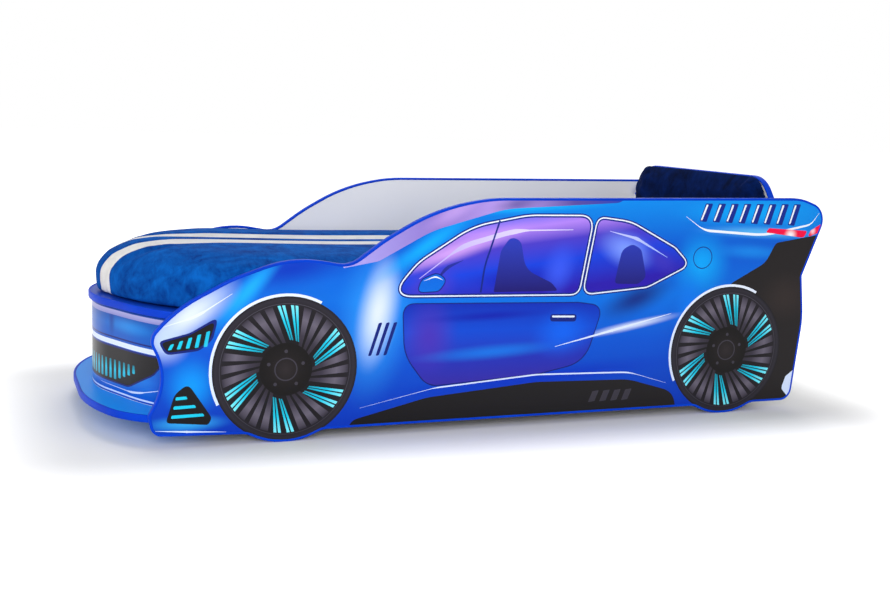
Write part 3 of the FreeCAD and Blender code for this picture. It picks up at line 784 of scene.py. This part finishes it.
# Finishes in two near tones: shader values, the tone's patches, the grain, the grain's depth in m.
# Soft PVC has faint drag lines, melamine a pebbled press texture, moulded plastic a spark-eroded
# skin, and zinc cloudy patches a few mm wide.
finishes = {
    "pvc": ({"Roughness": 0.42, "IOR": 1.53, "Specular IOR Level": 0.06}, (9.0, 2.0), (700.0, 2.0),
            0.00004),
    "board": ({"IOR": 1.5, "Specular IOR Level": 0.16}, (3.0, 2.0), (900.0, 1.0), 0.00004),
    "plastic": ({"IOR": 1.49}, (30.0, 2.0), (1200.0, 1.0), 0.00003),
    "metal": ({"Metallic": 1.0}, (160.0, 3.0), (900.0, 2.0), 0.00005)}


def plainMaterial(finish, name, code, second, **more):
    sockets, patches, skin, depth = finishes[finish]
    material, tree, shader = newMaterial(name, {**sockets, **more})
    coords = objectCoords(tree)
    tone = noiseValue(tree, coords, *patches)
    tree.links.new(colourRamp(tree, tone, [(0.3, code), (0.7, second)]), shader.inputs["Base Color"])
    bumped(tree, shader, noiseValue(tree, coords, *skin), depth)
    return material


# Geometry Nodes trees: each has its sizes, in mm, and its other inputs by kind.
def shapeTree(name, sizes, kinds):
    tree = bpy.data.node_groups.new(name, "GeometryNodeTree")
    face = tree.interface
    for direction in ("INPUT", "OUTPUT"):
        face.new_socket(name="Geometry", in_out=direction, socket_type="NodeSocketGeometry")
    for label, size in sizes.items():
        socket = face.new_socket(name=label, in_out="INPUT", socket_type="NodeSocketFloat")
        socket.default_value = size * mm
    for label, kind in kinds.items():
        face.new_socket(name=label, in_out="INPUT", socket_type="NodeSocket" + kind)
    return tree, addNode(tree, "NodeGroupInput").outputs


def sweptBar(tree, curve, width, height, rounding, shift=(0, 0, 0)):
    # a rounded section, swept upright along a curve
    upright = made(tree, "GeometryNodeSetCurveNormal", {"Curve": curve}, mode="Z_UP")
    flat = made(tree, "GeometryNodeCurvePrimitiveQuadrilateral", {"Width": width, "Height": height})
    rounded = made(tree, "GeometryNodeFilletCurve", {"Curve": flat, "Count": 3, "Radius": rounding},
                   mode="POLY")
    section = made(tree, "GeometryNodeTransform", {"Geometry": rounded, "Translation": shift})
    return made(tree, "GeometryNodeCurveToMesh", {"Curve": upright, "Profile Curve": section,
                                                  "Fill Caps": True})


def finishedTree(tree, given, shape):
    real = made(tree, "GeometryNodeRealizeInstances", {"Geometry": shape})
    done = made(tree, "GeometryNodeSetMaterial", {"Geometry": real, "Material": given["Material"]})
    addNode(tree, "NodeGroupOutput", {"Geometry": done})
    return tree


# Soft PVC edging, extruded and slipped on: satin royal blue.
edging = {"Board": 16.0, "Wall": 2.0, "Lip": 5.0, "Lip Wall": 1.5, "Rounding": 2.8}
coverage = {"straight": 14, "reach": 0.0006}
pvc = plainMaterial("pvc", "extruded soft PVC, royal blue", "#0038BE", "#0244D0")


def edgingTree(s):
    # follows the points it is given, then stands the result in its plane
    tree, given = shapeTree("edgingSweep", s, {"Closed": "Bool", "Turn": "Vector", "Place": "Vector",
                                               "Material": "Material"})
    points = made(tree, "GeometryNodeMeshToPoints", {"Mesh": given["Geometry"]})
    line = made(tree, "GeometryNodePointsToCurves", {"Points": points})
    ring = made(tree, "GeometryNodeSetSplineCyclic", {"Geometry": line, "Cyclic": given["Closed"]})
    depth = calculated(tree, "ADD", given["Wall"], given["Lip"])
    lips = calculated(tree, "MULTIPLY_ADD", given["Lip Wall"], 2.0, given["Board"])
    step = calculated(tree, "SUBTRACT", given["Wall"], given["Lip"])
    shift = made(tree, "ShaderNodeCombineXYZ", {"X": calculated(tree, "MULTIPLY", step, 0.5)})
    swept = sweptBar(tree, ring, depth, lips, given["Rounding"], shift)
    stood = made(tree, "GeometryNodeTransform", {"Geometry": swept, "Translation": given["Place"],
                                                 "Rotation": given["Turn"]})
    smooth = made(tree, "GeometryNodeSetShadeSmooth", {"Geometry": stood})
    return finishedTree(tree, given, smooth)


def setInputs(modifier, values):
    # inputs are set by their sockets' identifiers
    for item in modifier.node_group.interface.items_tree:
        if item.item_type == "SOCKET" and item.in_out == "INPUT" and item.name in values:
            modifier[item.identifier] = values[item.name]


def grown(name, points, tree, values):
    mesh = bpy.data.meshes.new(name)
    mesh.from_pydata([tuple(p) for p in points], [], [])
    piece = meshObject(name, mesh)
    modifier = piece.modifiers.new("shape", "NODES")
    modifier.node_group = tree
    setInputs(modifier, values)
    # nothing reaches below the floor
    for vert in applyModifiers(piece).vertices:
        vert.co.z = max(vert.co.z, 0.0)
    return piece


def coveredRun(loop, edgingName, toWorld, closed):
    # the part of a board's outline that its edging covers, with long straights divided
    form = mergedCopy(edgingName)
    tree = BVHTree.FromBMesh(form)
    form.free()
    dense = []
    for a, b in zip(loop, loop[1:] + loop[:1]):
        parts = max(1, math.ceil((b - a).length / coverage["straight"]))
        dense += [a.lerp(b, k / parts) for k in range(parts)]
    if closed:
        return dense
    covered = [tree.find_nearest(toWorld(p))[3] < coverage["reach"] for p in dense]
    starts = [k for k in range(len(dense)) if covered[k] and not covered[k - 1]]
    runs = []
    for start in starts:
        run = []
        k = start
        while covered[k % len(dense)] and len(run) < len(dense):
            run.append(dense[k % len(dense)])
            k += 1
        runs.append(run)
    return max(runs, key=len)


def makeEdging(name, board, edgingName, axes, levelAxis, level, middle, turn, closed):
    loop = boundaryLoop(board, axes, levelAxis, level)

    def toWorld(p):
        place = [0.0, 0.0, 0.0]
        place[axes[0]], place[axes[1]], place[levelAxis] = p.x * mm, p.y * mm, middle
        return Vector(place)

    run = coveredRun(loop, edgingName, toWorld, closed)
    place = [0.0, 0.0, 0.0]
    place[levelAxis] = middle
    values = {"Closed": closed, "Turn": turn, "Place": place, "Material": pvc}
    piece = grown(name, [(p.x * mm, p.y * mm, 0) for p in run], edgingSweep, values)
    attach(piece, "frame")
    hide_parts(edgingName)
    return piece


edgingSweep = edgingTree(edging)
quarter = math.radians(90)
# board, strip, flat axes, level axis, traced face (0 low, 1 high), turn, closed
edgingRuns = {
    "sideEdgingRight": ("side_panel_right", "side_edging_right", (0, 2), 1, 0, (quarter, 0, 0), True),
    "sideEdgingLeft": ("side_panel_left", "side_edging_left", (0, 2), 1, 1, (quarter, 0, 0), True),
    "rimEdging": ("bumper_rim_board", "bumper_rim_edging", (0, 1), 2, 1, (0, 0, 0), False),
    "splitterEdging": ("bumper_splitter_board", "bumper_splitter_edging", (0, 1), 2, 0, (0, 0, 0),
                       False),
    "headboardEdging": ("headboard", "headboard_edging", (1, 2), 0, 1, (quarter, 0, quarter), False)}
for name, (board, strip, axes, levelAxis, face, turn, closed) in edgingRuns.items():
    levels = [corner[levelAxis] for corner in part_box(board)]
    makeEdging(name, board, strip, axes, levelAxis, levels[face], sum(levels) / 2, turn, closed)
print("stage: edgings")


# Velour: a short brushed pile. Lighter and darker where it lies either way, with a pale edge glow.
velour = {"Roughness": 0.85, "Sheen Weight": 0.1, "Sheen Roughness": 0.35, "Specular IOR Level": 0.05}
# Its patterns by stretch, scale, detail, roughness and distortion. The tufts are drawn at about
# 1.5 mm, coarser than real pile so that they show.
pile = {"swept": ((1.0, 1.5, 1.5), 9.0, 4.0, 0.6, 1.0),
        "strokes": ((1.0, 0.35, 0.35), 85.0, 3.0, 0.65, 0.6),
        "tufts": ((1.0, 1.4, 1.4), 420.0, 3.0, 0.7),
        "strokeShare": 0.45, "darkest": 0.52, "lightest": 0.92, "depth": 0.0006, "strength": 0.5}

mattress = {"inner": 25.0, "outer": 122.0, "noseInner": 44.0, "noseOuter": 101.0,
            "noseStation": -10.0, "fullStation": 230.0, "blend": 0.5,
            "seamDepth": 1.6, "seamWidth": 5.0, "pinWidth": 7.0, "pinHold": 0.9, "hem": 14.0,
            "frontPlay": 3.0, "sidePlay": 0.3,
            "crown": 9.0, "crownStart": 60.0, "crownEnd": 620.0, "crownFoot": 12.0, "crownTop": 82.0,
            "voxel": 12.0, "shrink": 2.5, "pressure": 4.0, "cap": 5.0}


def seamPlaces(s, place):
    # how far a point of the cover lies from either edge of its stripe, in mm
    t = eased(place.x, toX(s["noseStation"]), toX(s["fullStation"]))
    side = abs(place.y) * 1000
    return [side - s[nose] - (s[full] - s[nose]) * t
            for nose, full in (("noseInner", "inner"), ("noseOuter", "outer"))]


def stripeBand(tree, coords, s):
    # 1 between a stripe's inner and outer edge, on either side of the middle
    axes = addNode(tree, "ShaderNodeSeparateXYZ", {0: coords}).outputs
    reach = calculated(tree, "ABSOLUTE", axes["Y"])
    past = []
    for nose, full in (("noseInner", "inner"), ("noseOuter", "outer")):
        edge = remapped(tree, axes["X"], toX(s["noseStation"]), toX(s["fullStation"]), s[nose] * mm,
                        s[full] * mm, True)
        gap = calculated(tree, "SUBTRACT", reach, edge)
        past.append(remapped(tree, gap, -s["blend"] * mm, s["blend"] * mm))
    return calculated(tree, "SUBTRACT", *past)


def velourMaterial(name, dark, light, sheenTint, stripes=None):
    material, tree, shader = newMaterial(name, {**velour, "Sheen Tint": sheenTint})
    coords = objectCoords(tree)
    swept, strokes, tufts = (noiseValue(tree, stretched(tree, coords, pile[key][0]), *pile[key][1:])
                             for key in ("swept", "strokes", "tufts"))
    both = calculated(tree, "MULTIPLY_ADD", strokes, pile["strokeShare"], swept)
    lie = remapped(tree, both, pile["darkest"], pile["lightest"])
    colour = colourRamp(tree, lie, [(0.0, dark), (1.0, light)])
    if stripes:
        band = stripeBand(tree, coords, stripes)
        pale = colourRamp(tree, lie, [(0.0, "#D8D5D3"), (1.0, "#ECEAE8")])
        colour = mixedColour(tree, band, colour, pale)
    tree.links.new(colour, shader.inputs["Base Color"])
    bumped(tree, shader, tufts, pile["depth"], pile["strength"])
    return material


def outerShell(name):
    # the largest closed skin of a CAD solid, without the hollow inside it
    form = mergedCopy(name)
    left = set(form.verts)
    islands = []
    while left:
        queue = [left.pop()]
        island = set(queue)
        while queue:
            for edge in queue.pop().link_edges:
                for vert in edge.verts:
                    if vert in left:
                        left.discard(vert)
                        island.add(vert)
                        queue.append(vert)
        islands.append(island)
    keep = max(islands, key=lambda part: max(v.co.x for v in part) - min(v.co.x for v in part))
    bmesh.ops.delete(form, geom=[v for v in form.verts if v not in keep], context="VERTS")
    return meshFrom(form, name)


cloth = {"quality": 6, "mass": 0.4, "tension_stiffness": 12, "compression_stiffness": 12,
         "bending_stiffness": 0.6, "use_pressure": True, "vertex_group_mass": "seams"}
clothFrames = 20


def puffed(name, source, s, pinned, fence):
    # remeshed, blown up by a short cloth simulation, with each point's way capped
    piece = meshObject(name, outerShell(source))
    remesh = piece.modifiers.new("even", "REMESH")
    remesh.mode = "VOXEL"
    remesh.voxel_size = s["voxel"] * mm
    calm = piece.modifiers.new("calm", "SMOOTH")
    calm.factor = 0.5
    calm.iterations = 3
    applyModifiers(piece)
    turned = vertsWithNormals(piece)
    start = [vert.co - normal * s["shrink"] * mm for vert, normal in turned]
    for (vert, _), place in zip(turned, start):
        vert.co = place
    moved = start
    group = piece.vertex_groups.new(name="seams")
    for index, (place, (_, normal)) in enumerate(zip(start, turned)):
        weight = pinned(place, normal)
        if weight > 0:
            group.add([index], weight, "REPLACE")
    puff = piece.modifiers.new("puff", "CLOTH")
    for setting, value in cloth.items():
        setattr(puff.settings, setting, value)
    puff.settings.uniform_pressure_force = s["pressure"]
    puff.settings.effector_weights.gravity = 0
    puff.collision_settings.use_collision = False
    for number in range(1, clothFrames + 1):
        scene.frame_set(number)
    result = piece.evaluated_get(bpy.context.evaluated_depsgraph_get()).data
    moved = [vert.co.copy() for vert in result.vertices]
    piece.modifiers.clear()
    piece.vertex_groups.clear()
    scene.frame_set(1)
    for vert, old, new in zip(piece.data.vertices, start, moved):
        way = new - old
        if way.length > s["cap"] * mm:
            way *= s["cap"] * mm / way.length
        vert.co = fence(old + way)
    for polygon in piece.data.polygons:
        polygon.use_smooth = True
    piece.data.materials.clear()
    return piece


def finerMesh(piece):
    smooth = piece.modifiers.new("finer", "SUBSURF")
    smooth.levels = 1
    smooth.render_levels = 1
    applyModifiers(piece)


mattressLow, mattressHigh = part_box("mattress_cover")
padLow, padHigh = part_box("headboard_pad")


def makeMattress(s):
    def pinned(place, normal):
        seam = min(abs(gap) for gap in seamPlaces(s, place))
        if normal.z > 0.2 and seam < s["pinWidth"]:
            return s["pinHold"]
        return 1.0 if place.z < mattressLow.z + s["hem"] * mm else 0.0

    def fence(place):
        half = mattressHigh.y + s["sidePlay"] * mm
        return Vector((clamped(place.x, mattressLow.x - s["frontPlay"] * mm, mattressHigh.x),
                       clamped(place.y, -half, half), max(place.z, mattressLow.z)))

    piece = puffed("mattress", "mattress_cover", s, pinned, fence)
    # the filling stands a little higher at the rounded front
    foot, top = mattressLow.z + s["crownFoot"] * mm, mattressLow.z + s["crownTop"] * mm
    for vert, normal in vertsWithNormals(piece):
        ahead = 1 - eased(vert.co.x, toX(s["crownStart"]), toX(s["crownEnd"]))
        vert.co += normal * s["crown"] * mm * ahead * eased(vert.co.z, foot, top)
    finerMesh(piece)
    # the stripes' seams draw the pile in a little
    for vert, normal in vertsWithNormals(piece):
        depth = sum(math.exp(-(gap / s["seamWidth"]) ** 2) for gap in seamPlaces(s, vert.co))
        if normal.z > -0.3:
            vert.co -= normal * depth * s["seamDepth"] * mm
    piece.data.materials.append(velourMaterial("short pile velour, blue with pale stripes", "#02337E",
                                               "#065EB8", "#2A78E8", s))
    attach(piece, "mattress")
    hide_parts("mattress_cover", "mattress_core")


pad = {"sideways": 17.0, "upwards": 9.5, "crown": 2.0, "from": 470.0, "full": 590.0,
       "rearDepth": 6.0, "rearSideways": 0.8, "rearUpwards": 0.4, "pinDepth": 10.0, "frontPlay": 4.0,
       "clear": 20.0, "wrapDepth": 4.0, "wrapGap": 0.2,
       "voxel": 7.0, "shrink": 0.0, "pressure": 4.0, "cap": 6.0}


def makePad(s):
    def pinned(place, normal):
        return 1.0 if place.x > padHigh.x - s["pinDepth"] * mm else 0.0

    def fence(place):
        play = s["frontPlay"] if place.z > mattressHigh.z + s["clear"] * mm else 0.0
        return Vector((clamped(place.x, padLow.x - play * mm, padHigh.x), place.y, place.z))

    piece = puffed("headboardPad", "headboard_pad", s, pinned, fence)
    # above the mattress the padding fills the headboard out to its edging, a little crowned
    for vert, normal in vertsWithNormals(piece):
        up = eased(vert.co.z * 1000, s["from"], s["full"]) * mm
        rear = vert.co.x > padHigh.x - s["rearDepth"] * mm
        vert.co.y += normal.y * s["sideways"] * up * (s["rearSideways"] if rear else 1.0)
        vert.co.z += normal.z * s["upwards"] * up * (s["rearUpwards"] if rear else 1.0)
        vert.co.z += s["crown"] * mm * max(0.0, normal.z) * (1 - (vert.co.y / padHigh.y) ** 2)
    # the velour is drawn back round the backing board and stapled behind it
    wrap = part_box("headboard")[0].x - padHigh.x - s["wrapGap"] * mm
    for vert in piece.data.vertices:
        if vert.co.x > padHigh.x - s["wrapDepth"] * mm:
            vert.co.x += wrap
    finerMesh(piece)
    piece.data.materials.append(velourMaterial("short pile velour, navy", "#000B2A", "#021D56",
                                               "#1A50C0"))
    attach(piece, "frame")
    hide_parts("headboard_pad")


makeMattress(mattress)
print("stage: mattress")
makePad(pad)
print("stage: headboard pad")


# Sawn or planed wood: long streaks along the grain, year rings about 3 mm apart. Both patterns go
# by scale, detail, roughness and distortion.
grain = {"wander": (12.0, 3.0, 0.6, 0.6), "rings": (4.0, 0.65, 0.3), "wanderShare": 0.6,
         "darkest": 0.5, "lightest": 1.1, "depth": 0.0002, "strength": 0.6}


def woodMaterial(name, dark, light, along, ringScale, rough):
    material, tree, shader = newMaterial(name, {"Roughness": rough, "IOR": 1.5})
    coords = stretched(tree, objectCoords(tree), along)
    wander = noiseValue(tree, coords, *grain["wander"])
    rings = noiseValue(tree, coords, ringScale, *grain["rings"])
    both = calculated(tree, "MULTIPLY_ADD", wander, grain["wanderShare"], rings)
    tone = remapped(tree, both, grain["darkest"], grain["lightest"])
    tree.links.new(colourRamp(tree, tone, [(0.0, dark), (1.0, light)]), shader.inputs["Base Color"])
    bumped(tree, shader, rings, grain["depth"], grain["strength"])
    return material


plainLooks = [
    ("board", "melamine faced board, white", "#F1F1F2", "#F5F5F5", 0.42,
     ["side_panel_left", "side_panel_right", "front_crossboard", "headboard", "bumper_rib",
      "bumper_end_cleats"]),
    ("board", "melamine faced board, blue", "#0890F4", "#0C9AFA", 0.42, ["bumper_splitter_board"]),
    # the rim board's deep blue is partly its own colour and partly painted shade from the mattress's
    # shadow on its top
    ("board", "melamine faced board, royal blue with painted shade", "#083CB0", "#0A46BE", 0.42, ["bumper_rim_board"]),
    ("board", "bent hardboard, white back", "#E6E6E6", "#EDEDED", 0.42, ["bumper_skin"]),
    ("plastic", "moulded polypropylene, black", "#16171A", "#202126", 0.5, ["slat_holders"]),
    ("plastic", "moulded cover cap, white", "#E4E4E4", "#EEEEEE", 0.45, ["cam_covers"]),
    ("metal", "zinc die casting", "#9A9CA0", "#B4B6BA", 0.42, ["cam_locks"]),
    ("metal", "zinc plated steel", "#B9BEC6", "#D2D6DC", 0.28,
     ["cam_bolts", "confirmat_screws", "corner_brackets", "bracket_screws", "rail_screws",
      "pad_screws"])]
# the grain runs along the axis with the smallest stretch
woodLooks = [
    ("planed pine", "#D9B27C", "#EBCFA0", (1.0, 14.0, 14.0), 22.0, 0.6,
     ["slat_rail_left", "slat_rail_right"]),
    ("laminated birch, lacquered", "#D8B98A", "#EEDBB8", (12.0, 1.0, 12.0), 20.0, 0.4, ["slats"]),
    ("birch plywood", "#C9A674", "#E2C79A", (3.0, 1.0, 1.0), 26.0, 0.6, ["pad_backing_board"]),
    ("turned beech", "#C79A66", "#DDB685", (1.0, 1.0, 1.0), 60.0, 0.6, ["dowels"])]


def dressFrame():
    for finish, name, code, second, rough, parts in plainLooks:
        dress(plainMaterial(finish, name, code, second, Roughness=rough), *parts)
    for *look, parts in woodLooks:
        dress(woodMaterial(*look), *parts)


dressFrame()
print("stage: frame materials")


# Slats: one bent lamella with eased edges, repeated along the bed.
slatSizes = {"Width": 53.0, "Thickness": 8.0, "Rounding": 2.6}
slatCount = 16


def slatTree(s):
    tree, given = shapeTree("bentSlats", s, {"Count": "Int", "First": "Vector", "Step": "Vector",
                                             "Left End": "Vector", "Middle": "Vector",
                                             "Right End": "Vector", "Material": "Material"})
    bend = made(tree, "GeometryNodeCurveArc", {"Resolution": 25, "Start": given["Left End"],
                                               "Middle": given["Middle"],
                                               "End": given["Right End"]}, mode="POINTS")
    slat = sweptBar(tree, bend, given["Width"], given["Thickness"], given["Rounding"])
    row = made(tree, "GeometryNodeMeshLine", {"Count": given["Count"], "Offset": given["Step"],
                                              "Start Location": given["First"]})
    placed = made(tree, "GeometryNodeInstanceOnPoints", {"Points": row, "Instance": slat})
    return finishedTree(tree, given, placed)


def makeSlats(s):
    low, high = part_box("slats")
    half = s["Thickness"] * mm / 2
    first, last = low.x + s["Width"] * mm / 2, high.x - s["Width"] * mm / 2
    values = {"Count": slatCount, "First": (first, 0, 0),
              "Step": ((last - first) / (slatCount - 1), 0, 0),
              "Left End": (0, low.y, low.z + half), "Middle": (0, 0, high.z - half),
              "Right End": (0, high.y, low.z + half),
              "Material": nodes["slats"].data.materials[0]}
    piece = grown("bentSlats", [(0, 0, 0)], slatTree(s), values)
    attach(piece, "frame")
    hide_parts("slats")


makeSlats(slatSizes)
print("stage: slats")
